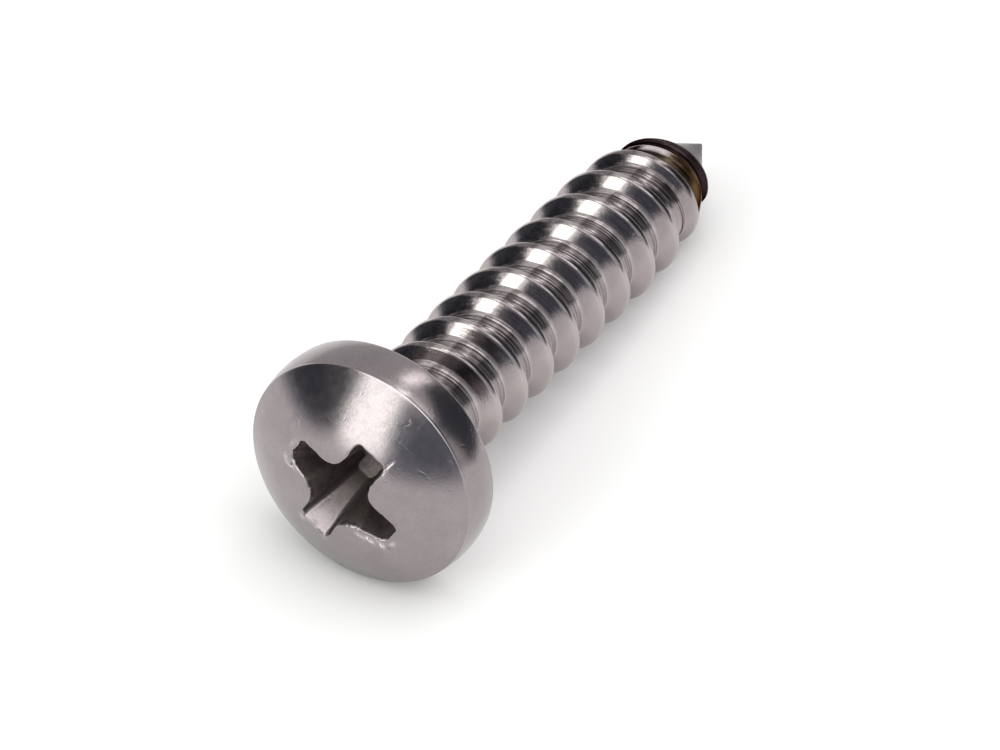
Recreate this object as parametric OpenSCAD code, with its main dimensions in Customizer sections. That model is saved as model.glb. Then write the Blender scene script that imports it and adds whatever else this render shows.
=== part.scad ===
// Self-tapping sheet-metal screw with a domed pan head, a cross recess and a pointed end.
// One solid piece, in millimetres. It lies on a flat surface as it comes to rest, on the
// rim of its head and on the crest of its thread, with the tip towards +X and dipping.
// The origin is on that surface, below the middle of the screw's length.

/* [Thread] */
// Outer diameter over the thread crests
thread_d = 2.9; // [2.6:0.05:3.3]
// Diameter of the core between the threads
root_d = 2.18; // [1.8:0.02:2.4]
// Distance between neighbouring crests
pitch = 1.06; // [0.8:0.02:1.5]
// Width of the flat on top of each crest
crest_flat = 0.14; // [0.06:0.01:0.2]
// Slope of each thread flank, measured from a plane square to the axis
flank_angle = 30; // [20:1:35]
// Distance from the bearing face at which the thread begins to rise
thread_start = 0.55; // [0.5:0.05:2]
// Turns over which the thread rises to its full height
run_in_turns = 0.7; // [0.3:0.1:1.5]
// Angle of the thread's first crest about the axis
thread_turn = 166; // [0:1:359]

/* [Shank and point] */
// Length from the bearing face to the tip
length = 13.2; // [9.6:0.1:25]
// Length of the cone that the core ends in
point_len = 1.85; // [1.5:0.05:3.5]
// Length over which the crests draw in towards the tip
taper_len = 5.2; // [2.6:0.1:6]
// How full the taper of the crests is: 1 is a straight cone, more is rounder
taper_fullness = 3.5; // [1:0.1:5]
// Length of the bare tip, past the end of the thread
bare_tip = 0.65; // [0.3:0.05:1]
// Turns over which the thread dies out at the tip
run_out_turns = 0.2; // [0.1:0.05:1]

/* [Head] */
// Largest diameter of the head, half-way up its rounded side
head_d = 5.5; // [4.8:0.05:6.5]
// Height of the head above its bearing face
head_h = 1.95; // [1.8:0.05:2.6]
// Height of the rounded side, from the bearing face to the edge of the crown
side_h = 1; // [0.7:0.02:1.4]
// How far the rounded side stands out beyond the edge of the crown
side_bulge = 0.06; // [0.04:0.01:0.3]
// Diameter of the plain neck, which keeps the size of the blank the thread is rolled in
neck_d = 2.5; // [2.45:0.05:2.8]
// Length of the plain neck below the bearing face, with its tapered end
neck_len = 0.42; // [0.35:0.01:0.44]
// Radius of the fillet between the bearing face and the neck
neck_fillet = 0.22; // [0.05:0.01:0.25]

/* [Cross recess] */
// Span of the recess over two opposite wings, at the surface of the crown
recess_span = 2.76; // [2.2:0.02:3.4]
// Depth of the wings below the surface of the crown
recess_depth = 1.4; // [0.8:0.05:1.5]
// Width of each wing at the surface
wing_w = 0.78; // [0.6:0.02:1]
// Width of each wing at its floor
wing_floor_w = 0.5; // [0.3:0.02:0.56]
// Slope of the outer end of each wing, measured from the axis
wing_end_angle = 26.5; // [15:0.5:30]
// Radius of the rounded edges at the outer end of each wing
wing_end_r = 0.14; // [0.04:0.01:0.2]
// Radius of the four rounded corners between the wings, at the surface
corner_r = 0.5; // [0.1:0.02:0.6]
// Radius of the same corners at the floor
corner_floor_r = 0.24; // [0.1:0.02:0.3]
// Slope of the shallow cone in the middle of the floor
floor_angle = 20; // [5:1:25]

/* [Resting pose] */
// How far the screw has rolled about its own axis
roll = 207; // [0:1:359]

/* [Hidden] */
$fn = 96;

steel = [0.66, 0.63, 0.61];

// Facets of the thread: steps in one turn, and points across one thread
turn_steps = 48;
strip = 4;
// Width of the foot that each thread keeps where it has no height
foot = 0.02;
// Overlap that lets one shape run into another
lap = 0.3;

// Head, drawn as a half section: radius across and height along the axis, bearing face at 0
// and crown at minus head_h
crown_r = head_d / 2 - side_bulge;
crown_h = head_h - side_h;
dome_r = (pow(crown_r, 2) + pow(crown_h, 2)) / (2 * crown_h);
dome_z = dome_r - head_h;
side_r = (pow(side_h / 2, 2) + pow(side_bulge, 2)) / (2 * side_bulge);
side_x = head_d / 2 - side_r;
neck_r = neck_d / 2;
neck_end_r = root_d / 2 + 0.01;

// Recess
rim_z = dome_z - sqrt(pow(dome_r, 2) - pow(recess_span / 2, 2));
floor_z = rim_z + recess_depth;
cut_z = -head_h - lap;
wing_draft = (wing_w - wing_floor_w) / 2 / recess_depth;
corner_steps = 6;
end_steps = 3;

// Crest and core radius at a distance z below the bearing face
taper_z = length - taper_len;
function crest_r(z) =
    thread_d / 2 * (1 - pow(max(0, z - taper_z) / taper_len, taper_fullness));
function core_r(z) = root_d / 2 * min(1, (length - z) / point_len);

// The thread is one strip wound round the axis. Step i is counted along the helix, and the
// middle of the crest is crest_z(i) below the bearing face.
thread_steps = floor((length - bare_tip - thread_start) / pitch * turn_steps);
function crest_z(i) = thread_start + i / turn_steps * pitch;
function step_angle(i) = thread_turn + i / turn_steps * 360;
function rise(i) = min(1, i / turn_steps / run_in_turns,
                       (thread_steps - i) / turn_steps / run_out_turns);
function height(i) = max(0, rise(i) * (crest_r(crest_z(i)) - core_r(crest_z(i))));

// Points 0 and 3 are the feet of the flanks, and points 1 and 2 the edges of the crest
function reach(i, j) = crest_flat / 2 + ((j == 0 || j == strip - 1) ?
                                         foot + height(i) * tan(flank_angle) : 0);
function strip_z(i, j) = crest_z(i) + (j < strip / 2 ? -1 : 1) * reach(i, j);
function strip_r(i, j) =
    core_r(strip_z(i, j)) + ((j == 0 || j == strip - 1) ? 0 : height(i));
function on_axis(a, r, z) = [r * cos(a), r * sin(a), z];

// The strip's last turn ends in one more row of points, closer and closer behind the thread
last_z = strip_z(thread_steps, strip - 1) + foot;
function end_z(i) = let (t = (thread_steps - i) / turn_steps)
    last_z - t * (last_z - strip_z(thread_steps, 0));

// Contact with the surface: the screw tips about the rim of its head until one of the
// crests in the outer half of the thread touches. low_crests holds their lowest steps.
low_angle = 360 - roll;
low_crests = [for (n = [0 : ceil(length / pitch)])
              let (i = ((low_angle - thread_turn) / 360 + n) * turn_steps)
              if (crest_z(i) > length / 2 && i < thread_steps) i];
function dip(i) =
    let (x = crest_z(i) + crest_flat / 2 + side_h / 2,
         y = side_x - core_r(crest_z(i)) - height(i))
    asin(side_r / norm([x, y])) + atan2(y, x);
tilt = min([for (i = low_crests) dip(i)]);
axis_h = side_x * cos(tilt) - side_h / 2 * sin(tilt) + side_r;
back_x = dome_z * cos(tilt) - dome_r;
front_x = length * cos(tilt);

// Half section of the head with its fillet and neck
module head_section() {
    intersection() {
        translate([0, dome_z])
            circle(r = dome_r);
        translate([0, -head_h])
            square([crown_r, crown_h]);
    }
    intersection() {
        union() {
            translate([side_x, -side_h / 2])
                circle(r = side_r);
            translate([0, -side_h])
                square([max(side_x, crown_r / 2), side_h]);
        }
        translate([0, -side_h])
            square([head_d, side_h]);
    }
    difference() {
        translate([0, -lap])
            square([neck_r + neck_fillet, lap + neck_fillet]);
        translate([neck_r + neck_fillet, neck_fillet])
            circle(r = neck_fillet);
    }
    polygon([[0, -lap], [neck_r, -lap], [neck_r, neck_len - (neck_r - neck_end_r)],
             [neck_end_r, neck_len], [0, neck_len]]);
}

// Outline of the recess at one level, one wing after another: the two rounded edges of the
// wing's end, then the rounded corner to the next wing
function cross_outline(z) =
    let (deep = (z - rim_z) / recess_depth,
         side = wing_w / 2 - (z - rim_z) * wing_draft,
         end = recess_span / 2 - (z - rim_z) * tan(wing_end_angle),
         r = corner_r + (corner_floor_r - corner_r) * deep,
         c = side + r,
         e = wing_end_r)
    [for (turn = [0 : 90 : 270])
        for (p = concat([for (k = [0 : end_steps])
                            let (a = -90 + 90 * k / end_steps)
                            [end - e + e * cos(a), e - side + e * sin(a)]],
                        [for (k = [0 : end_steps])
                            let (a = 90 * k / end_steps)
                            [end - e + e * cos(a), side - e + e * sin(a)]],
                        [for (k = [0 : corner_steps])
                            let (a = 270 - 90 * k / corner_steps)
                            [c + r * cos(a), c + r * sin(a)]]))
            [p.x * cos(turn) - p.y * sin(turn), p.x * sin(turn) + p.y * cos(turn), z]];

// Cutter for the recess: tapered sides from above the crown down to the floor, and a
// shallow point in the middle of the floor
module recess() {
    top = cross_outline(cut_z);
    floor = cross_outline(floor_z);
    n = len(top);
    middle = floor_z + floor[end_steps].x * tan(floor_angle);
    polyhedron(
        points = concat(top, floor, [[0, 0, cut_z], [0, 0, middle]]),
        faces = concat(
            [for (k = [0 : n - 1]) [k, n + k, n + (k + 1) % n]],
            [for (k = [0 : n - 1]) [k, n + (k + 1) % n, (k + 1) % n]],
            [for (k = [0 : n - 1]) [2 * n, k, (k + 1) % n]],
            [for (k = [0 : n - 1]) [2 * n + 1, n + (k + 1) % n, n + k]]));
}

module head() {
    difference() {
        rotate_extrude()
            head_section();
        recess();
    }
}

// Core, thread and point, as one wound strip with a round cap at the top, inside the head,
// and a fan of facets down to the tip
module shank() {
    n = turn_steps;
    end = thread_steps;
    top_z = -lap;
    function at(i, j) = j < strip ? i * strip + j :
                        i + n <= end ? (i + n) * strip :
                        (end + 1) * strip + i - (end - n) - 1;
    ring = (end + 1) * strip + n;
    cap = ring + n;
    apex = cap + 1;
    points = concat(
        [for (i = [0 : end]) for (j = [0 : strip - 1])
            on_axis(step_angle(i), strip_r(i, j), strip_z(i, j))],
        [for (i = [end - n + 1 : end])
            on_axis(step_angle(i), core_r(end_z(i)), end_z(i))],
        [for (i = [0 : n - 1]) on_axis(step_angle(i), root_d / 2, top_z)],
        [[0, 0, top_z], [0, 0, length]]);
    faces = concat(
        [for (i = [0 : end - 1]) for (j = [0 : strip - 1])
            [at(i, j), at(i + 1, j + 1), at(i + 1, j)]],
        [for (i = [0 : end - 1]) for (j = [0 : strip - 1])
            [at(i, j), at(i, j + 1), at(i + 1, j + 1)]],
        [for (i = [0 : n - 2]) [ring + i, at(i, 0), at(i + 1, 0)]],
        [for (i = [0 : n - 2]) [ring + i, at(i + 1, 0), ring + i + 1]],
        [for (j = [0 : strip - 1]) [at(n - 1, 0), at(0, j + 1), at(0, j)]],
        [[at(n - 1, 0), at(0, 0), ring], [at(n - 1, 0), ring, ring + n - 1]],
        [for (i = [0 : n - 1]) [cap, ring + i, ring + (i + 1) % n]],
        [for (i = [end - n + 1 : end - 1]) [apex, at(i + 1, strip), at(i, strip)]],
        [for (j = [0 : strip - 1])
            [at(end - n + 1, strip), at(end, j), at(end, j + 1)]],
        [[at(end - n + 1, strip), at(end, strip), apex]]);
    polyhedron(points = points, faces = faces);
}

module screw() {
    color(steel)
        translate([-(back_x + front_x) / 2, 0, axis_h])
            rotate([0, 90 + tilt, 0])
                rotate([0, 0, roll])
                    union() {
                        head();
                        shank();
                    }
}

screw();
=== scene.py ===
"""Looks of the sheet-metal screw: a smooth skin over the CAD solid, stainless steel, soft studio.

The skin is drawn along the screw's own axis, in millimetres: z is the distance from the
bearing face towards the tip, so the crown of the head is at minus HEAD_H.
"""

import math

import bpy
import numpy as np
from mathutils import Matrix, Vector


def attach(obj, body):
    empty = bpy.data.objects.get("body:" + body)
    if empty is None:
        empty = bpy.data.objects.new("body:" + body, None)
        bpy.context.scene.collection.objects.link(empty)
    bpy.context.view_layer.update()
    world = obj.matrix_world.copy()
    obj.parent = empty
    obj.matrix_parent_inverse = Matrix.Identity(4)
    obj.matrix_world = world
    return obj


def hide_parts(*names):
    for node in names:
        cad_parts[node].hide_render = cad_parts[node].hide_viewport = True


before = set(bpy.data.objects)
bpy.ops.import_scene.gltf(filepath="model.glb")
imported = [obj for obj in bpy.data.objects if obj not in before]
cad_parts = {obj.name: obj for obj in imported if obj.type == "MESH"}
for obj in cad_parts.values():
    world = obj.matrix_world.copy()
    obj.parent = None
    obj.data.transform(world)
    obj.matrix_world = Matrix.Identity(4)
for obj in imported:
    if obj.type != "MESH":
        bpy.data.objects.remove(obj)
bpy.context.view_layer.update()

# Sizes, as in the solid
THREAD_D = 2.9
ROOT_D = 2.18
PITCH = 1.06
CREST_FLAT = 0.14
FLANK = math.radians(30)
THREAD_START = 0.55
RUN_IN = 0.7
THREAD_TURN = math.radians(166)
LENGTH = 13.2
POINT_LEN = 1.85
TAPER_LEN = 5.2
FULLNESS = 3.5
BARE_TIP = 0.65
RUN_OUT = 0.2
HEAD_D = 5.5
HEAD_H = 1.95
SIDE_H = 1.0
BULGE = 0.06
NECK_D = 2.5
NECK_LEN = 0.42
FILLET = 0.22
SPAN = 2.76
DEPTH = 1.4
WING_W = 0.78
WING_FLOOR_W = 0.5
WING_END = math.radians(26.5)
WING_END_R = 0.14
CORNER_R = 0.5
CORNER_FLOOR_R = 0.24
FLOOR_ANGLE = math.radians(20)

# Resting pose: turn about the axis, dip of the tip, and the middle of the bearing face
ROLL = math.radians(207)
TILT = math.radians(7.368)
BEARING = Vector((-5.5609, 0, 2.6806))
MM = 0.001

CROWN_R = HEAD_D / 2 - BULGE
CROWN_H = HEAD_H - SIDE_H
DOME_R = (CROWN_R**2 + CROWN_H**2) / (2 * CROWN_H)
DOME_Z = DOME_R - HEAD_H
SIDE_R = ((SIDE_H / 2) ** 2 + BULGE**2) / (2 * BULGE)
SIDE_X = HEAD_D / 2 - SIDE_R
RIM_Z = DOME_Z - math.sqrt(DOME_R**2 - (SPAN / 2) ** 2)
FLOOR_Z = RIM_Z + DEPTH
FLOOR_HALF = SPAN / 2 - DEPTH * math.tan(WING_END)
DRAFT = (WING_W - WING_FLOOR_W) / 2 / DEPTH

# Head
HEAD_STEPS = 540
EDGE_R = 0.035
RIM_REACH = 1.72
# Rings of the crown: from and to which radius, and how many
CROWN_SPANS = ((0.0, 0.5, 22), (0.5, RIM_REACH, 84), (RIM_REACH, CROWN_R - 0.06, 22))
# A hair of flash on the sharp edge: the place before the edge, and how far it stands out
FLASH = ((-0.040, 0.0), (-0.022, 0.001), (-0.010, 0.004), (-0.002, 0.005))
# Which rings after the crown carry a painted highlight on that edge
CREASE_RINGS = (2, 3, 4)
# Small burrs and dents round the recess, pushed up by a slipping driver: the place in the
# plane of the head, the reach along x and y, the turn of that shape, and the height
BURRS = [
    (-0.55, 0.92, 0.05, 0.13, 0, 0.026),
    (-0.48, 1.13, 0.05, 0.10, 20, 0.045),
    (-0.42, 1.36, 0.06, 0.12, 35, 0.042),
    (-0.24, 1.54, 0.10, 0.05, 10, 0.028),
    (-0.47, 1.55, 0.04, 0.09, 50, -0.020),
    (-0.50, -1.22, 0.05, 0.12, -15, 0.026),
    (-0.45, -1.42, 0.06, 0.06, 0, 0.018),
    (0.02, -1.45, 0.14, 0.05, 0, 0.012),
    (1.22, 0.47, 0.13, 0.03, 8, 0.004),
    (1.46, 0.40, 0.12, 0.026, 6, -0.010),
    (-1.50, -0.30, 0.06, 0.09, 20, 0.022),
    (-1.52, 0.34, 0.04, 0.08, -20, 0.014),
    (-0.05, 2.06, 0.03, 0.05, 30, -0.012),
    (0.62, 0.95, 0.04, 0.07, 40, -0.006),
    (0.35, -1.62, 0.02, 0.20, 70, -0.008),
]
# The ragged rim of the recess: height, scale and seed of each noise, and the depth it fades in
RAGGED = ((0.012, 16, 5), (0.006, 40, 8))
RAGGED_DEPTH = 0.2
# The wings count from 0 at +x towards +y; a driver has worn the third one smooth
WORN_WING = 2
WORN_SHARE = 0.45
# How much the sides of each wing draw in towards its end
DRAW_IN = (0.0, 0.13, 0.0, 0.10)
# How far the end of each wing is worn back
WORN_END = (0.0, 0.02, 0.05, -0.02)
END_WALL_HALF = WING_W / 2 - 0.10
HALVINGS = 18
WAVES = 9
# Turns about the axis, in radians: the middle of the painted highlight along the edge, of the painted
# highlight spot on the side and of the painted highlight stretch at the bearing face
CREASE_SIDE = 0.2
SPOT_SIDE = -0.16
BEARING_SIDE = -0.12


def dome(r):
    """The z of the crown at a radius."""
    return DOME_Z - np.sqrt(DOME_R**2 - r**2)


def turn_from(turn, middle):
    """The turn counted from a middle, from minus half a round to half a round."""
    return (turn - middle + math.pi) % (2 * math.pi) - math.pi


def wave_noise(x, y, scale, seed):
    """Smooth noise of about -1 to 1, a sum of sine waves in fixed directions."""
    rng = np.random.default_rng(seed)
    total = np.zeros_like(x)
    for _ in range(WAVES):
        turn, phase = rng.uniform(0, 2 * np.pi, 2)
        f = scale * rng.uniform(0.6, 1.7)
        total += np.sin(f * (x * np.cos(turn) + y * np.sin(turn)) + phase)
    return total / (WAVES / 2)


def inside_cross(u, w, depth, draw, worn):
    """Distance from the wall of the recess at a depth, more than 0 inside: u along, w across."""
    half = WING_W / 2 - depth * DRAFT - draw * np.clip((u - 0.85) / 0.5, 0, 1) ** 1.5
    r = CORNER_R + (CORNER_FLOOR_R - CORNER_R) * depth / DEPTH
    c = WING_W / 2 - depth * DRAFT + r
    end = SPAN / 2 + worn - depth * math.tan(WING_END)
    e = WING_END_R
    corner = np.hypot(c - u, c - w) - r
    side = np.where((u < c) & (w < c), corner, half - w)
    tip = np.where(
        (u > end - e) & (w > half - e), e - np.hypot(u - end + e, w - half + e), end - u
    )
    return np.minimum(side, tip)


def recess_dirt_and_shade_share(u, w, wing, on_floor):
    """Share of dirt and painted shade: full on the walls, none on one end wall, less along the worn
    wing.
    """
    end_wall = w < END_WALL_HALF
    dirt_and_shade = np.where(on_floor, 0.97, np.where(end_wall & (wing == 0), 0.0, 1.0))
    cleaner = np.clip(1.62 - 1.15 * u, 0.08, 1) + np.where(end_wall, 0.0, 0.15)
    return np.where(wing == WORN_WING, np.minimum(dirt_and_shade, cleaner), dirt_and_shade)


def recess_depth(x, y):
    """How far the recess lies below the dome at x, y, with a rounded rim, and its dirt and painted
    shade, which grow with depth.
    """
    u, w = np.maximum(np.abs(x), np.abs(y)), np.minimum(np.abs(x), np.abs(y))
    wing = np.where(np.abs(x) >= np.abs(y), np.where(x > 0, 0, 2), np.where(y > 0, 1, 3))
    draw, worn = np.array(DRAW_IN)[wing], np.array(WORN_END)[wing]
    edge = EDGE_R * np.clip(1 + 0.6 * wave_noise(x, y, 9, 3), 0.4, 2)
    ragged = sum(high * wave_noise(x, y, scale, seed) for high, scale, seed in RAGGED)
    ragged = ragged * np.where(wing == WORN_WING, WORN_SHARE, 1.0)
    rim = inside_cross(u, w, 0.0, draw, worn) + ragged
    # The depth of the wall below this point, by halving
    low, high = np.zeros_like(u), np.full_like(u, DEPTH + 0.4)
    for _ in range(HALVINGS):
        middle = (low + high) / 2
        room = inside_cross(u, w, middle, draw, worn) + ragged * np.exp(-middle / RAGGED_DEPTH)
        low, high = np.where(room > 0, middle, low), np.where(room > 0, high, middle)
    rounded = edge - np.sqrt(np.clip(edge**2 - np.clip(rim + edge, 0, edge) ** 2, 0, None))
    depth = np.where(rim < 0, rounded, edge + low)
    r = np.hypot(x, y)
    floor = FLOOR_Z + np.clip(FLOOR_HALF - r, 0, None) * math.tan(FLOOR_ANGLE) - dome(r)
    dirt_and_shade = recess_dirt_and_shade_share(u, w, wing, depth > floor)
    depth = np.minimum(depth, floor)
    return depth, dirt_and_shade * np.clip(depth / 0.3, 0, 1)


def relief(x, y):
    """Height of the burrs and dents above the dome at x, y."""
    total = np.zeros_like(x)
    for cx, cy, rx, ry, turn, high in BURRS:
        t = math.radians(turn)
        p = ((x - cx) * math.cos(t) + (y - cy) * math.sin(t)) / rx
        q = (-(x - cx) * math.sin(t) + (y - cy) * math.cos(t)) / ry
        total += high * np.exp(-(p**2) - q**2)
    return total * (1.1 + 0.8 * wave_noise(x, y, 24, 11))


def head_rings():
    """Rings from the middle of the crown to the end of the neck: radius and z."""
    crown = np.concatenate([np.linspace(start, end, n)[1:] for start, end, n in CROWN_SPANS])
    rings = [(r, float(dome(r))) for r in crown]
    slope = math.asin(CROWN_R / DOME_R)
    for share, out in FLASH:
        r = CROWN_R + share
        rings.append((r + out * math.sin(slope), float(dome(r)) - out * math.cos(slope)))
    rings += [(CROWN_R + 0.006, -SIDE_H + 0.004), (CROWN_R + 0.004, -SIDE_H + 0.018)]
    # The bulging side, and a small round into the bearing face
    top = math.asin((SIDE_H / 2 - 0.05) / SIDE_R)
    for a in np.linspace(-top, top, 13):
        rings.append((SIDE_X + SIDE_R * math.cos(a), -SIDE_H / 2 + SIDE_R * math.sin(a)))
    rings += [(CROWN_R + 0.004, -0.022), (CROWN_R - 0.018, -0.005), (CROWN_R - 0.05, 0.0)]
    rings += [(2.2, 0.0), (1.8, 0.0)]
    neck, core = NECK_D / 2, ROOT_D / 2
    for a in np.linspace(0, math.pi / 2, 7):
        rings.append((neck + FILLET * (1 - math.sin(a)), FILLET * (1 - math.cos(a))))
    rings += [(neck, NECK_LEN - (neck - core)), (core + 0.004, NECK_LEN), (core - 0.1, NECK_LEN)]
    return rings, len(crown)


def crown_lighter_places(x, y, deep, up):
    """Where the crown is made lighter: on burrs and on the rim of the recess, and the end wall that
    takes pale dust.
    """
    rim = np.clip(1 - abs(deep - 0.02) / 0.02, 0, 1) * 0.25
    end_wall = (x > 0.9) & (abs(y) < END_WALL_HALF) & (deep > 0.15)
    return np.where(end_wall, 1.0, np.clip(up / 0.04, 0, 1) + rim)


def side_highlights(turn, z):
    """Painted highlights on the side: a spot below the edge, and a stretch at the bearing face."""
    off = turn_from(turn, 0.0)
    spot = 1.6 * np.exp(-(((off - SPOT_SIDE) / 0.05) ** 2) - ((z + 0.88) / 0.09) ** 2)
    stretch = np.exp(-(((off - BEARING_SIDE) / 0.2) ** 2) - ((z + 0.02) / 0.03) ** 2)
    uneven = wave_noise(off * 14, np.full_like(off, z * 30), 1.6, 21)
    return (spot + stretch) * (0.6 + 0.5 * uneven)


def head_mesh():
    """Points, faces, dirt with painted shade, and lighter places of the head; these are 1 where the
    steel is painted brightest: painted highlights on the edge and side, lighter burrs and rim, and the
    dusty end wall.
    """
    rings, crown_count = head_rings()
    turn = np.linspace(0, 2 * np.pi, HEAD_STEPS, endpoint=False)
    # Painted highlight along the crown's edge, on one side
    painted_crease_highlight = np.exp(-((turn_from(turn, CREASE_SIDE) / 0.42) ** 2))
    points = [(0.0, 0.0, FLOOR_Z + FLOOR_HALF * math.tan(FLOOR_ANGLE))]
    head_dirt_and_shade, sheen_and_wear = [0.25], [0.0]
    for k, (r, z) in enumerate(rings):
        x, y = r * np.cos(turn), r * np.sin(turn)
        zz = np.full(HEAD_STEPS, z)
        dirt_and_shade = np.zeros(HEAD_STEPS)
        bright = np.zeros(HEAD_STEPS)
        if k < crown_count:
            deep = np.zeros(HEAD_STEPS)
            if r < RIM_REACH:
                deep, dirt_and_shade = recess_depth(x, y)
            up = relief(x, y) * np.clip(1 - deep / 0.1, 0, 1)
            zz = zz + deep - up
            bright = crown_lighter_places(x, y, deep, up)
        elif k - crown_count in CREASE_RINGS:
            bright = painted_crease_highlight
        elif z < 0.01:
            bright = side_highlights(turn, z)
        points += list(zip(x, y, zz))
        head_dirt_and_shade += list(dirt_and_shade)
        sheen_and_wear += list(np.clip(bright, 0, 1))
    faces = [(0, 1 + (a + 1) % HEAD_STEPS, 1 + a) for a in range(HEAD_STEPS)]
    for k in range(len(rings) - 1):
        base = 1 + k * HEAD_STEPS
        for a in range(HEAD_STEPS):
            b = (a + 1) % HEAD_STEPS
            faces.append((base + a, base + b, base + HEAD_STEPS + b, base + HEAD_STEPS + a))
    return points, faces, head_dirt_and_shade, sheen_and_wear


# Thread
TURN_STEPS = 120
# One side of the thread from its foot to its crest: share of the crest's half width, share
# of the flank's reach, share of the thread's height
SIDE = [
    (1, 1.20, 0.0),
    (1, 1.05, 0.012),
    (1, 0.94, 0.075),
    (1, 0.84, 0.16),
    (1, 0.5, 0.5),
    (1, 0.14, 0.86),
    (1, 0.03, 0.965),
    (0.72, 0, 1.0),
]
# Painted highlight with a little wear on those places, strongest on one side of the screw and gone
# after some turns
PAINTED_EDGE_SHEEN = [0.6, 0.55, 0.2, 0, 0, 0.05, 0.3, 0.15]
EDGE_SHEEN_SIDE = 0.45
EDGE_SHEEN_REACH = 0.35
EDGE_SHEEN_TURNS = 8.7
EDGE_SHEEN_FADE = 0.6
# The thread's own pattern: the size of one round across it, and the step of one turn along it
PATTERN_R = 2.3
PATTERN_STEP = 0.9
START_Z = -0.2
POINT_SHARES = (0.35, 0.65, 0.88)
POINT_FULLER = 1.1
POINT_GAP = 0.01
END = math.floor((LENGTH - BARE_TIP - THREAD_START) / PITCH * TURN_STEPS)


def crest_r(z):
    return THREAD_D / 2 * (1 - (max(0, z - (LENGTH - TAPER_LEN)) / TAPER_LEN) ** FULLNESS)


def core_r(z):
    return ROOT_D / 2 * min(1, (LENGTH - z) / POINT_LEN)


def crest_z(i):
    return THREAD_START + i / TURN_STEPS * PITCH


def height(i):
    rise = min(1, i / TURN_STEPS / RUN_IN, (END - i) / TURN_STEPS / RUN_OUT)
    return max(0, rise * (crest_r(crest_z(i)) - core_r(crest_z(i))))


def turn_angle(i):
    return THREAD_TURN + 2 * math.pi * i / TURN_STEPS


def across(i):
    """Points across the thread at step i, as radius and z, from its first foot to its last."""
    h, mid = height(i), crest_z(i)
    flank = 0.02 + h * math.tan(FLANK)
    row = []
    for sign, side in ((-1, SIDE), (1, SIDE[::-1])):
        for crest, foot, up in side:
            z = mid + sign * (CREST_FLAT / 2 * crest + flank * foot)
            row.append((core_r(z) + h * up, z))
    return row


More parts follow.
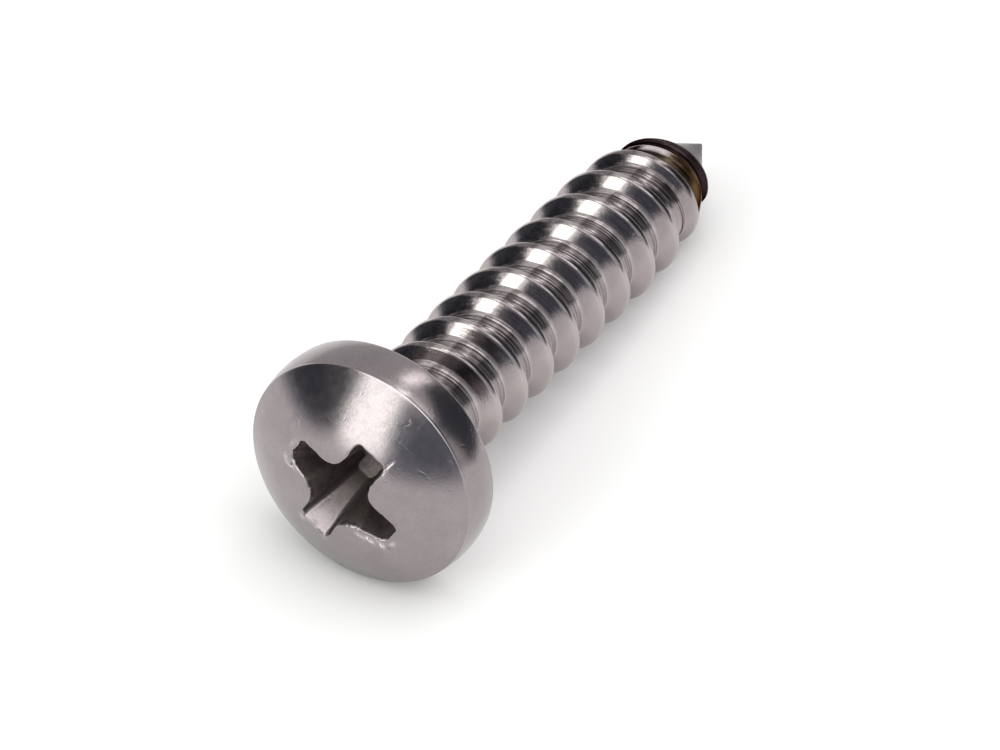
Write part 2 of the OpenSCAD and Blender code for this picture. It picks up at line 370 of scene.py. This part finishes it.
class Thread:
    """Thread, core and point: points, faces, places in the thread's pattern, and painted highlights on
    the edges.
    """

    def __init__(self):
        self.points, self.faces, self.groove, self.sheen_and_wear = [], [], [], []
        self.wind()
        self.join_neck()
        self.close_point()

    def put(self, i, r, z, bright=0.0):
        """Add the point of step i at a radius and z, and give its number."""
        a = turn_angle(i)
        self.points.append((r * math.cos(a), r * math.sin(a), z))
        b = 2 * math.pi * (z - crest_z(i)) / PITCH
        slow = PATTERN_STEP * i / TURN_STEPS
        self.groove.append((PATTERN_R * math.cos(b), PATTERN_R * math.sin(b), slow))
        # Painted highlight on the edges, strongest on one side
        shown = 0.15 + 0.85 * math.exp(-((turn_from(a, EDGE_SHEEN_SIDE) / EDGE_SHEEN_REACH) ** 2))
        gone = min(1.0, max(0.0, i / TURN_STEPS - EDGE_SHEEN_TURNS) / EDGE_SHEEN_FADE)
        self.sheen_and_wear.append(bright * shown * (1 - gone))
        return len(self.points) - 1

    def at(self, i, j):
        """Number of the point at step i and place j; the place past the last is the next turn's."""
        if j < self.places:
            return self.grid[i][j]
        return self.grid[i + TURN_STEPS][0] if i + TURN_STEPS <= END else self.tail[i]

    def wind(self):
        """The strip of the thread with the core up to the next turn, wound from start to end."""
        rows = [across(i) for i in range(END + 1)]
        first, last = rows[END][0][1], rows[END][-1][1] + 0.02
        self.places = len(rows[0]) + 2
        self.grid, next_foot = [], []
        for i, row in enumerate(rows):
            ids = [self.put(i, r, z, wear) for (r, z), wear in zip(row, PAINTED_EDGE_SHEEN + PAINTED_EDGE_SHEEN[::-1])]
            if i + TURN_STEPS <= END:
                next_z = rows[i + TURN_STEPS][0][1]
            else:
                next_z = last - (END - i) / TURN_STEPS * (last - first)
            foot = row[-1][1]
            for share in (1 / 3, 2 / 3):
                z = foot + (next_z - foot) * share
                ids.append(self.put(i, core_r(z), z))
            self.grid.append(ids)
            next_foot.append(next_z)
        self.tail = {}
        for i in range(END - TURN_STEPS + 1, END + 1):
            self.tail[i] = self.put(i, core_r(next_foot[i]), next_foot[i])
        for i in range(END):
            for j in range(self.places):
                here, there = self.at(i, j), self.at(i + 1, j)
                self.faces.append((here, there, self.at(i + 1, j + 1), self.at(i, j + 1)))

    def join_neck(self):
        """Core from a ring inside the head to the first turn."""
        ring = [self.put(i, ROOT_D / 2, START_Z) for i in range(TURN_STEPS)]
        for i in range(TURN_STEPS - 1):
            self.faces.append((ring[i], ring[i + 1], self.at(i + 1, 0), self.at(i, 0)))
        s = TURN_STEPS - 1
        self.faces.append((ring[s], ring[0], self.at(0, 0), self.at(s, 0)))
        for j in range(self.places):
            self.faces.append((self.at(s, 0), self.at(0, j), self.at(0, j + 1)))

    def close_point(self):
        """Bare tip, in rings down to a slightly blunt point."""
        start, m = END - TURN_STEPS, self.places
        edge = [self.at(i, m) for i in range(start, END)]
        edge_z = [self.points[v][2] for v in edge]
        for j in range(m):
            self.faces.append((self.at(start + 1, m), self.at(END, j + 1), self.at(END, j)))
        previous = [self.at(END, m)] + edge[1:]
        # The last turn ends a pitch further than it began, so the first ring starts there
        edge_z_first = self.points[previous[0]][2]
        for share in POINT_SHARES:
            ids = []
            for n in range(TURN_STEPS):
                z0 = edge_z_first if share == POINT_SHARES[0] and n == 0 else edge_z[n]
                z = z0 + (LENGTH - z0) * share
                fuller = POINT_FULLER if share == POINT_SHARES[-1] else 1
                ids.append(self.put(start + n, core_r(z) * fuller, z))
            for n in range(TURN_STEPS):
                k = (n + 1) % TURN_STEPS
                self.faces.append((previous[n], previous[k], ids[k], ids[n]))
            previous = ids
        apex = self.put(END, 0.0, LENGTH - POINT_GAP)
        for n in range(TURN_STEPS):
            self.faces.append((previous[n], previous[(n + 1) % TURN_STEPS], apex))


def make_skin():
    """The head and the thread as one smooth mesh in the resting pose."""
    head_points, head_faces, head_dirt_and_shade, head_sheen_and_wear = head_mesh()
    thread = Thread()
    shift = len(head_points)
    points = np.array(head_points + thread.points)
    faces = head_faces + [tuple(v + shift for v in f) for f in thread.faces]
    place = (
        Matrix.Translation(BEARING)
        @ Matrix.Rotation(math.pi / 2 + TILT, 4, "Y")
        @ Matrix.Rotation(ROLL, 4, "Z")
    )
    lying = points @ np.array(place.to_3x3()).T + np.array(place.translation)
    mesh = bpy.data.meshes.new("screw_skin")
    mesh.from_pydata((lying * MM).tolist(), [], faces)
    for name, kind, values in (
        ("along", "FLOAT_VECTOR", points),
        ("groove", "FLOAT_VECTOR", [(0.0, 0.0, 0.0)] * shift + thread.groove),
        ("dirt_and_shade", "FLOAT", head_dirt_and_shade + [0.0] * len(thread.points)),
        ("sheen_and_wear", "FLOAT", head_sheen_and_wear + thread.sheen_and_wear),
    ):
        layer = mesh.attributes.new(name, kind, "POINT")
        field = "value" if kind == "FLOAT" else "vector"
        layer.data.foreach_set(field, np.array(values, np.float32).ravel())
    mesh.validate()
    mesh.shade_smooth()
    mesh.set_sharp_from_angle(angle=math.radians(60))
    skin = bpy.data.objects.new("screw_skin", mesh)
    bpy.context.collection.objects.link(skin)
    return skin


# Steel: its base colours, those of what lies on it, and painted light and shade
STEEL = (0.335, 0.294, 0.302)
STEEL_DARKER = (0.30, 0.264, 0.273)
CLOUDS = (0.23, 0.203, 0.21)
SPECKS = (0.215, 0.19, 0.196)
# Painted light: the thread lighter, most towards its two sides
THREAD_STEEL_PAINTED_LIGHTER = (0.42, 0.368, 0.372)
STREAKS = (0.10, 0.088, 0.09)
# Painted shade in the thread's foot next to the head
NECK_PAINTED_SHADE = (0.13, 0.085, 0.075)
# Painted dark reflections in bands along the thread
PAINTED_DARK_REFLECTION = (0.115, 0.10, 0.104)
# Painted highlight in a band along the thread
PAINTED_HIGHLIGHT = (0.62, 0.57, 0.555)
FOOT_SHADE = (0.11, 0.095, 0.095)
# Painted highlights on the edges and sides, and lighter burrs and rim
PAINTED_SHEEN_AND_WEAR = (0.78, 0.73, 0.73)
BROWN = (0.125, 0.088, 0.05)
BROWN_DARKER = (0.075, 0.05, 0.032)
BROWN_SHADED = (0.04, 0.033, 0.026)
GLINT = (0.85, 0.74, 0.76)
BLACK = (0.024, 0.014, 0.015)
PALE_LINE = (0.40, 0.29, 0.26)
BARE_POINT = (0.078, 0.070, 0.076)
BARE_POINT_DARKER = (0.048, 0.042, 0.047)
DULL_TINT = (0.3, 0.25, 0.25)
WHITE_TINT = (1.0, 1.0, 1.0)
# Brown dirt with painted shade in the recess
DIRT_AND_SHADE = (0.052, 0.038, 0.030)
DUST = (0.72, 0.66, 0.54)
BUMP_M = 0.000006
# Bands along the screw, by y, most of them painted light and shade: where each starts, is full, begins
# to fade and is gone, then its top
LINED = (-0.3, -0.1, 0.35, 0.6, 0.6)
RIGHT_DARK_REFLECTION = (-0.52, -0.42, 0.3, 1.0, 0.64)
LEFT_DARK_REFLECTION = (-1.32, -1.12, -0.85, -0.66, 0.9)
PAINTED_HIGHLIGHT_BAND = (-0.85, -0.68, -0.56, -0.44, 0.8)
FOOT_GLOW = (-0.36, -0.30, -0.20, -0.12)
FOOT_SHADED = (-0.56, -0.46, -0.38, -0.32)
# Stretches of z over which something begins
THREAD_BEGINS = (0.1, 0.5)
MARKS_BEGIN = (0.9, 1.7)
DARK_REFLECTION_BEGINS = (0.5, 1.1)
TONES_BEGIN = (0.9, 1.5)
TIP_BEGINS = (12.4, 12.7)
# Places near the end of the thread, in turns along it and in pitches past its crest
LAST_TURN = (9.98, 10.04)
BARE_START = (0.12, 0.2)
BROWN_TURN = (9.02, 9.16)
BROWN_START = (0.05, 0.12)
GLINT_TURNS = (9.39, 9.425, 9.48, 9.515)
GLINT_START = (0.42, 0.55)
LINE_TURNS = (9.53, 9.62, 0.0, 0.8)
LINE_TURNS_END = (9.95, 10.0, 1.0, 0.0)
LINE_PLACE = (0.58, 0.62, 0.65, 0.69)
# The end wall of the recess, by radius and z
DUST_RADIUS = (1.5, 1.6, 1.0, 0.0)
DUST_Z = (-1.66, -1.5, 0.0, 0.1)


class Nodes:
    """Short ways to add nodes to a material, with the places that its masks are made from."""

    def __init__(self, material):
        self.tree = material.node_tree
        self.along = self.attribute("along", "Vector")
        self.groove = self.attribute("groove", "Vector")
        self.dirt_and_shade = self.attribute("dirt_and_shade", "Fac")
        self.sheen_and_wear = self.attribute("sheen_and_wear", "Fac")
        x, self.y, self.z = self.parts(self.along)
        self.radius = self.calc("SQRT", self.calc("ADD", self.times(x, x), self.times(self.y, self.y)))
        self.on_thread = self.ramp(self.z, *THREAD_BEGINS)
        # The turn that a place on the thread belongs to, and how far past its crest it lies
        self.turns = self.times(self.parts(self.groove)[2], 1 / PATTERN_STEP)
        pitches = self.times(self.calc("SUBTRACT", self.z, THREAD_START), 1 / PITCH)
        self.past = self.calc("SUBTRACT", pitches, self.turns)
        self.last_turn = self.ramp(self.turns, *LAST_TURN)
        self.bare = self.times(self.last_turn, self.ramp(self.past, *BARE_START))
        # The foot of the thread, and the part of it that shows rolling marks
        self.threaded = self.calc("SUBTRACT", self.on_thread, self.bare)
        self.foot = self.times(self.ramp(self.radius, 1.1, 1.18, 1.0, 0.0), self.threaded)
        less_right = self.ramp(self.y, 0.2, 0.7, 1.0, 0.12)
        self.marked = self.times(self.foot, self.ramp(self.z, *MARKS_BEGIN), less_right)
        self.lines = self.noise(1.0, (1.0, 1.0, 0.4), 2.0, 0.6, self.groove)

    def add(self, kind, **values):
        made = self.tree.nodes.new(kind)
        for name, value in values.items():
            setattr(made, name, value)
        return made

    def feed(self, value, socket):
        """Set a socket to a number or a colour, or link another socket to it."""
        if isinstance(value, tuple):
            socket.default_value = (*value, 1)
        elif isinstance(value, (int, float)):
            socket.default_value = value
        else:
            self.tree.links.new(value, socket)

    def attribute(self, name, output):
        return self.add("ShaderNodeAttribute", attribute_name=name).outputs[output]

    def parts(self, vector):
        split = self.add("ShaderNodeSeparateXYZ")
        self.feed(vector, split.inputs[0])
        return split.outputs

    def calc(self, operation, *values):
        made = self.add("ShaderNodeMath", operation=operation)
        for value, socket in zip(values, made.inputs):
            self.feed(value, socket)
        return made.outputs[0]

    def times(self, first, *others):
        for other in others:
            first = self.calc("MULTIPLY", first, other)
        return first

    def rest_of(self, share):
        return self.calc("SUBTRACT", 1.0, share)

    def ramp(self, value, low, high, to_low=0.0, to_high=1.0):
        made = self.add("ShaderNodeMapRange", interpolation_type="SMOOTHSTEP")
        for number, name in (
            (low, "From Min"),
            (high, "From Max"),
            (to_low, "To Min"),
            (to_high, "To Max"),
            (value, "Value"),
        ):
            self.feed(number, made.inputs[name])
        return made.outputs[0]

    def band(self, value, start, full, fading, gone, top=1.0):
        """0 up to start, a top from full to fading, and 0 again from gone."""
        return self.times(self.ramp(value, start, full), self.ramp(value, fading, gone, top, 0.0))

    def mix(self, share, a, b):
        made = self.add("ShaderNodeMix", data_type="RGBA")
        self.feed(share, made.inputs["Factor"])
        self.feed(a, made.inputs[6])
        self.feed(b, made.inputs[7])
        return made.outputs[2]

    def noise(self, scale, stretch=(1, 1, 1), detail=4.0, rough=0.6, source=None):
        stretched = self.add("ShaderNodeVectorMath", operation="MULTIPLY")
        stretched.inputs[1].default_value = stretch
        self.feed(source or self.along, stretched.inputs[0])
        made = self.add("ShaderNodeTexNoise")
        self.feed(scale, made.inputs["Scale"])
        self.feed(detail, made.inputs["Detail"])
        self.feed(rough, made.inputs["Roughness"])
        self.feed(stretched.outputs[0], made.inputs["Vector"])
        return made.outputs["Fac"]


def plain_steel(n):
    """Warm grey steel, a little uneven, and painted lighter on the thread, most towards its two sides.
    """
    colour = n.mix(n.ramp(n.noise(1.3), 0.35, 0.65), STEEL, STEEL_DARKER)
    colour = n.mix(n.ramp(n.noise(9, (1, 1, 2), 6, 0.7), 0.5, 0.8, 0, 0.3), colour, CLOUDS)
    colour = n.mix(n.ramp(n.noise(20, rough=0.8), 0.42, 0.66, 0, 0.35), colour, SPECKS)
    # Painted light: lighter towards both sides of the thread
    painted_light_sides = n.calc("MAXIMUM", n.ramp(n.y, 0.8, 1.1, 0.3, 1.0), n.ramp(n.y, -0.5, -0.3, 1.0, 0.3))
    return n.mix(n.times(n.on_thread, painted_light_sides), colour, THREAD_STEEL_PAINTED_LIGHTER)


def thread_tones(n, colour):
    """Dark streaks; painted shade in brown next to the head; painted dark reflections, a painted
    highlight and painted shade in bands along the thread; painted highlights on the edges, with the
    head's lighter burrs and rim.
    """
    flank_lines = n.times(n.band(n.y, *LINED), n.ramp(n.z, *MARKS_BEGIN))
    streaked = n.calc("MAXIMUM", n.marked, flank_lines)
    colour = n.mix(n.times(n.ramp(n.lines, 0.46, 0.56, 0.0, 0.8), streaked), colour, STREAKS)
    # Painted shade: brown in the thread's foot next to the head
    colour = n.mix(n.times(n.foot, n.ramp(n.z, 0.8, 1.6, 0.75, 0.0)), colour, NECK_PAINTED_SHADE)

    mottle = n.ramp(n.noise(8, (1, 1, 1.6), 6, 0.75), 0.34, 0.6, 0.45, 1.0)
    glow = n.times(n.band(n.y, *FOOT_GLOW), n.foot)
    right_dark_reflection = n.times(n.band(n.y, *RIGHT_DARK_REFLECTION), n.rest_of(glow))
    left_dark_reflection = n.band(n.y, *LEFT_DARK_REFLECTION)
    dark_reflections = n.calc("ADD", right_dark_reflection, left_dark_reflection)
    # Painted dark reflections in two bands along the thread
    colour = n.mix(n.times(dark_reflections, mottle, n.ramp(n.z, *DARK_REFLECTION_BEGINS)), colour, PAINTED_DARK_REFLECTION)

    off_neck = n.ramp(n.z, *TONES_BEGIN)
    # Painted highlight in a band along the thread
    painted_highlight = n.times(n.band(n.y, *PAINTED_HIGHLIGHT_BAND), off_neck, mottle)
    colour = n.mix(n.times(painted_highlight, n.ramp(n.z, 9.4, 10.2, 1.0, 0.2)), colour, PAINTED_HIGHLIGHT)
    beside_glow = n.band(n.y, *FOOT_SHADED)
    shade = n.calc("MAXIMUM", beside_glow, n.ramp(n.y, -0.95, -0.72, 0.85, 0.0))
    colour = n.mix(n.times(n.foot, shade, off_neck, mottle), colour, FOOT_SHADE)
    # Painted highlights on the edges and sides, with the lighter burrs and rim of the head
    return n.mix(n.times(n.sheen_and_wear, 0.8), colour, PAINTED_SHEEN_AND_WEAR)


def last_turns(n, colour):
    """Brown between the last threads, black last turn, grey bare point, and their shine's tint."""
    brown = n.mix(n.ramp(n.noise(3), 0.4, 0.6), BROWN, BROWN_DARKER)
    brown = n.mix(n.ramp(n.y, -0.5, 0.1), BROWN_SHADED, brown)
    last_foot = n.times(n.ramp(n.past, *BROWN_START), n.ramp(n.turns, *BROWN_TURN))
    colour = n.mix(n.times(last_foot, 0.95), colour, brown)
    glint = n.times(n.band(n.turns, *GLINT_TURNS), n.ramp(n.past, *GLINT_START))
    colour = n.mix(glint, colour, GLINT)
    colour = n.mix(n.times(n.last_turn, 0.97), colour, BLACK)
    pale_line = n.times(
        n.band(n.past, *LINE_PLACE),
        n.ramp(n.turns, *LINE_TURNS),
        n.ramp(n.turns, *LINE_TURNS_END),
    )
    colour = n.mix(pale_line, colour, PALE_LINE)
    point = n.mix(n.ramp(n.noise(7), 0.4, 0.6), BARE_POINT, BARE_POINT_DARKER)
    colour = n.mix(n.bare, colour, point)
    dull = n.times(n.calc("MAXIMUM", n.last_turn, last_foot), n.ramp(n.bare, 0.0, 1.0, 1.0, 0.4))
    tint = n.mix(n.times(dull, n.rest_of(glint)), WHITE_TINT, DULL_TINT)
    return colour, tint


def recess_dirt_and_shade(n, colour):
    """Brown dirt and painted shade in the recess, darker with depth, and pale dust on one end wall,
    with their share of metal.
    """
    # Painted shade: the recess darkens with depth, mixed with brown dirt
    dirt_and_shade_mask = n.times(n.dirt_and_shade, n.ramp(n.noise(4, detail=5, rough=0.7), 0.3, 0.75, 0.7, 0.98))
    colour = n.mix(dirt_and_shade_mask, colour, DIRT_AND_SHADE)
    dusty = n.times(
        n.sheen_and_wear,
        n.ramp(n.radius, *DUST_RADIUS),
        n.band(n.z, *DUST_Z),
        n.ramp(n.noise(5, detail=5, rough=0.7), 0.35, 0.6, 0.5, 1.0),
    )
    colour = n.mix(dusty, colour, DUST)
    metal = n.calc("SUBTRACT", n.rest_of(n.times(dirt_and_shade_mask, 0.6)), n.times(dusty, 0.85))
    return colour, metal


def roughness(n):
    """Even on the head, smoother on the thread, rougher in the recess's dirt and painted shade, at the
    tip and on the head's lighter places.
    """
    haze = n.ramp(n.noise(14, detail=8, rough=0.75), 0.4, 0.7)
    rough = n.ramp(n.noise(5, detail=6), 0.3, 0.7, 0.16, 0.21)
    rough = n.calc("ADD", rough, n.times(haze, 0.05))
    rough = n.calc("SUBTRACT", rough, n.times(n.on_thread, 0.05))
    rough = n.calc("ADD", rough, n.times(n.dirt_and_shade, 0.2))
    rough = n.calc("ADD", rough, n.times(n.ramp(n.z, *TIP_BEGINS), 0.12))
    return n.calc("ADD", rough, n.times(n.sheen_and_wear, n.rest_of(n.on_thread), 0.15))


def surface_height(n):
    """Rolling marks along the thread, and grain, nicks and short thin scratches on the head."""
    scratch = n.calc(
        "MAXIMUM",
        n.ramp(n.noise(11, (1, 0.1, 0.5), 1, 0.5), 0.63, 0.88),
        n.ramp(n.noise(9, (0.12, 1, 0.5), 1, 0.5), 0.64, 0.88),
    )
    patches = n.ramp(n.noise(1.4, detail=3), 0.5, 0.64)
    scratch = n.times(scratch, patches, n.rest_of(n.on_thread))
    nicks = n.ramp(n.noise(7, detail=3, rough=0.5), 0.68, 0.76)
    grain = n.noise(18, detail=6, rough=0.75)
    marks = n.times(n.lines, n.calc("ADD", n.times(n.marked, 6.0), 0.9), n.threaded)
    high = n.calc("ADD", marks, n.times(grain, 0.3))
    high = n.calc("SUBTRACT", high, n.times(nicks, 0.25))
    return n.calc("SUBTRACT", high, n.times(scratch, 0.8))


def steel_material():
    """Stainless steel with its wear, its brown and black end and the dirt of the recess."""
    material = bpy.data.materials.new("stainless_steel")
    material.use_nodes = True
    shader = material.node_tree.nodes["Principled BSDF"]
    n = Nodes(material)
    colour, tint = last_turns(n, thread_tones(n, plain_steel(n)))
    colour, metal = recess_dirt_and_shade(n, colour)
    bump = n.add("ShaderNodeBump")
    bump.inputs["Strength"].default_value = 1.0
    bump.inputs["Distance"].default_value = BUMP_M
    n.feed(surface_height(n), bump.inputs["Height"])
    n.feed(colour, shader.inputs["Base Color"])
    n.feed(tint, shader.inputs["Specular Tint"])
    n.feed(metal, shader.inputs["Metallic"])
    n.feed(roughness(n), shader.inputs["Roughness"])
    n.feed(bump.outputs["Normal"], shader.inputs["Normal"])
    return material


skin = make_skin()
skin.data.materials.append(steel_material())
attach(skin, "root")
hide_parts("screw")

# Camera: a long lens from the side of the head, looking down at 45 degrees
CAM_PLACE = Vector((-174.375, -106.947, 203.542)) * MM
CAM_RIGHT = Vector((0.5248338, -0.85120473, 0.0))
CAM_UP = Vector((0.60009046, 0.37000236, 0.70921767))
CAM_BACK = -Vector((0.60368943, 0.3722214, -0.70498957))
SENSOR_MM = 36
PICTURE_PX = 1000
FOCAL_PX = 13328
camera = bpy.data.objects.new("camera", bpy.data.cameras.new("camera"))
bpy.context.collection.objects.link(camera)
camera.data.sensor_width = SENSOR_MM
camera.data.lens = FOCAL_PX * SENSOR_MM / PICTURE_PX
camera.data.clip_start = 0.01
camera.data.clip_end = 20
camera.matrix_world = Matrix.Translation(CAM_PLACE) @ Matrix(
    (CAM_RIGHT, CAM_UP, CAM_BACK)
).transposed().to_4x4()
bpy.context.scene.camera = camera

# Studio: sizes and distances in metres, the tone of the floor and the strength of the sky
FLOOR_SIZE = 6
FLOOR_TONE = 0.96
CARD_DISTANCE = 0.6
TOP_DISTANCE = 0.9
FLOOR_CARD_FAR = 0.7
FLOOR_CARD_Z = 0.0001
SKY = 0.66

# Directions round the object, counted from the camera's side: turn to the left, then height
front = Vector((CAM_BACK.x, CAM_BACK.y, 0)).normalized()
right = Vector((CAM_RIGHT.x, CAM_RIGHT.y, 0)).normalized()


def around(left, high, distance):
    """The place in a direction from the object, in degrees, and at a distance."""
    a, e = math.radians(left), math.radians(high)
    flat = front * math.cos(a) - right * math.sin(a)
    return (flat * math.cos(e) + Vector((0, 0, math.sin(e)))) * distance


def matt(name, colour):
    """A dull material of one colour."""
    material = bpy.data.materials.new(name)
    material.use_nodes = True
    shader = material.node_tree.nodes["Principled BSDF"]
    shader.inputs["Base Color"].default_value = (*colour, 1)
    shader.inputs["Roughness"].default_value = 0.9
    shader.inputs["Specular IOR Level"].default_value = 0.0
    return material


def sheet(name, corners, colour):
    """A flat four-cornered piece of the studio."""
    mesh = bpy.data.meshes.new(name)
    mesh.from_pydata(corners, [], [(0, 1, 2, 3)])
    mesh.materials.append(matt(name, colour))
    piece = bpy.data.objects.new(name, mesh)
    bpy.context.collection.objects.link(piece)
    return piece


def rectangle(width, height):
    """Corners of a flat rectangle round the origin."""
    w, h = width / 2, height / 2
    return [(-w, -h, 0), (w, -h, 0), (w, h, 0), (-w, h, 0)]


def dark_card(name, corners, tone):
    """A dark bluish card that only reflections see."""
    card = sheet(name, corners, (tone * 0.9, tone, tone * 1.2))
    card.visible_camera = False
    card.visible_diffuse = False
    card.visible_shadow = False
    return card


def flag(name, left, high, size, tone):
    """A dark card that faces the object from a direction."""
    card = dark_card(name, rectangle(*size), tone)
    card.location = around(left, high, CARD_DISTANCE)
    card.rotation_euler = (-card.location).to_track_quat("Z", "Y").to_euler()


def floor_card(name, left_from, left_to, near, tone):
    """A dark card on the floor between two directions, from a near distance outwards."""
    ends = ((left_from, FLOOR_CARD_FAR), (left_to, FLOOR_CARD_FAR), (left_to, near), (left_from, near))
    places = [around(left, 0, distance) for left, distance in ends]
    dark_card(name, [(v.x, v.y, FLOOR_CARD_Z) for v in places], tone)


def lamp(name, left, high, distance, size, power, colour):
    """A soft rectangular lamp that faces the object."""
    data = bpy.data.lights.new(name, "AREA")
    data.shape = "RECTANGLE"
    data.size, data.size_y = size
    data.energy = power
    data.color = colour
    piece = bpy.data.objects.new(name, data)
    bpy.context.collection.objects.link(piece)
    piece.location = around(left, high, distance)
    piece.rotation_euler = (-piece.location).to_track_quat("-Z", "Y").to_euler()


sheet("floor", rectangle(FLOOR_SIZE, FLOOR_SIZE), (FLOOR_TONE, FLOOR_TONE, FLOOR_TONE))
# Lamps: degrees to the left and up, distance, size, watts, colour
lamp("strip", 45.5, 22, CARD_DISTANCE, (0.285, 0.56), 1.45, (0.96, 1.0, 0.95))
lamp("back_strip", -145, 38, CARD_DISTANCE, (0.10, 0.33), 0.26, (1.0, 0.97, 0.95))
lamp("top", -60, 75, TOP_DISTANCE, (0.9, 0.9), 4.2, (1.0, 0.99, 0.98))
# Floor cards: degrees to the left from and to, near distance, tone
floor_card("mat_left", 66, 112, 0.045, 0.2)
floor_card("mat_front", -12, 34, 0.038, 0.25)
floor_card("mat_right", -138, -84, 0.024, 0.1)
# Flags: degrees to the left and up, size, tone
flag("flag_left", 87, 16, (0.56, 0.42), 0.07)
flag("flag_front", 12, 16, (0.44, 0.34), 0.2)
flag("flag_right", -115, 20, (0.55, 0.48), 0.07)

world = bpy.data.worlds.new("studio")
bpy.context.scene.world = world
world.use_nodes = True
background = world.node_tree.nodes["Background"]
background.inputs["Color"].default_value = (1, 1, 1, 1)
background.inputs["Strength"].default_value = SKY

bpy.context.scene.view_settings.view_transform = "Standard"
